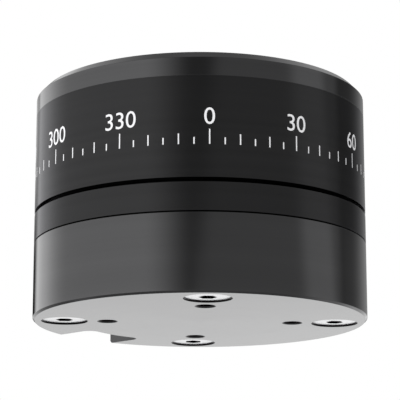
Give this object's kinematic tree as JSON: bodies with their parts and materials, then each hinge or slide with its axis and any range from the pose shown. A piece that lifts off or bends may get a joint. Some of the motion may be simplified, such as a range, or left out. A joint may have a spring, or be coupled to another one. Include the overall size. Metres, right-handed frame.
{
  "type": "gimbal motor",
  "caption": "Low round outrunner gimbal motor: a black bell turns over a fixed flange and an encoder housing, with tapped holes on both faces, a hollow shaft and a cable outlet.",
  "frame": {"origin": "centre of the bottom mounting face, on the motor's axis", "axes": "+Z along the motor's axis towards the output face, -Y towards the pictured front, the tapped holes on X and Y, the cable outlet halfway between -X and +Y"},
  "size_m": [0.046, 0.046, 0.0319],
  "materials": {
    "satin_anodised": "fine-turned, black anodised, satin",
    "stainless_screw": "cold-formed, passivated",
    "deep_anodised": "fine-turned, deep black anodised",
    "lamination_steel": "stacked laminations, varnished",
    "insulator_nylon": "moulded",
    "enamelled_copper": "enamelled wire, varnished",
    "lead_silicone": "extruded, matte",
    "bearing_steel": "ground and polished",
    "pressed_steel": "pressed sheet",
    "board_laminate": "solder mask over glass laminate",
    "chip_epoxy": "moulded, laser-matt",
    "capacitor_ceramic": "fired ceramic, tinned ends",
    "blackened_steel": "ground and blackened",
    "nickel_magnet": "nickel plated",
    "shaft_steel": "turned and ground",
    "spring_steel": "blackened spring steel",
    "holder_brass": "turned"
  },
  "bodies": {
    "stator": {"encoder_housing": "satin_anodised", "housing_screws": "stainless_screw", "stator_base": "deep_anodised", "stator_core": "lamination_steel", "lower_insulator": "insulator_nylon", "upper_insulator": "insulator_nylon", "phase_a_windings": "enamelled_copper", "phase_b_windings": "enamelled_copper", "phase_c_windings": "enamelled_copper", "phase_leads": "lead_silicone", "upper_outer_race": "bearing_steel", "lower_outer_race": "bearing_steel", "upper_bearing_shields": "pressed_steel", "lower_bearing_shields": "pressed_steel", "encoder_board": "board_laminate", "encoder_chip": "chip_epoxy", "board_capacitors": "capacitor_ceramic", "board_screws": "stainless_screw"},
    "rotor": {"rotor_cap": "satin_anodised", "flux_ring": "blackened_steel", "north_magnets": "nickel_magnet", "south_magnets": "nickel_magnet", "shaft": "shaft_steel", "upper_inner_race": "bearing_steel", "lower_inner_race": "bearing_steel", "shim_washer": "spring_steel", "retaining_ring": "spring_steel", "magnet_holder": "holder_brass", "encoder_magnet": "nickel_magnet"},
    "upper_ball_train": {"upper_bearing_balls": "bearing_steel", "upper_ball_cage": "pressed_steel"},
    "lower_ball_train": {"lower_bearing_balls": "bearing_steel", "lower_ball_cage": "pressed_steel"}
  },
  "joints": [
    {"name": "rotor_spin", "type": "hinge", "parent": "stator", "child": "rotor", "pos_m": [0, 0, 0.015], "axis": [0, 0, 1], "continuous": true},
    {"name": "upper_ball_orbit", "type": "hinge", "parent": "stator", "child": "upper_ball_train", "pos_m": [0, 0, 0.025], "axis": [0, 0, 1], "continuous": true},
    {"name": "lower_ball_orbit", "type": "hinge", "parent": "stator", "child": "lower_ball_train", "pos_m": [0, 0, 0.0133], "axis": [0, 0, 1], "continuous": true}
  ],
  "couplings": [
    {"joint": "upper_ball_orbit", "follows": "rotor_spin", "ratio": 0.41667},
    {"joint": "lower_ball_orbit", "follows": "rotor_spin", "ratio": 0.41667}
  ]
}
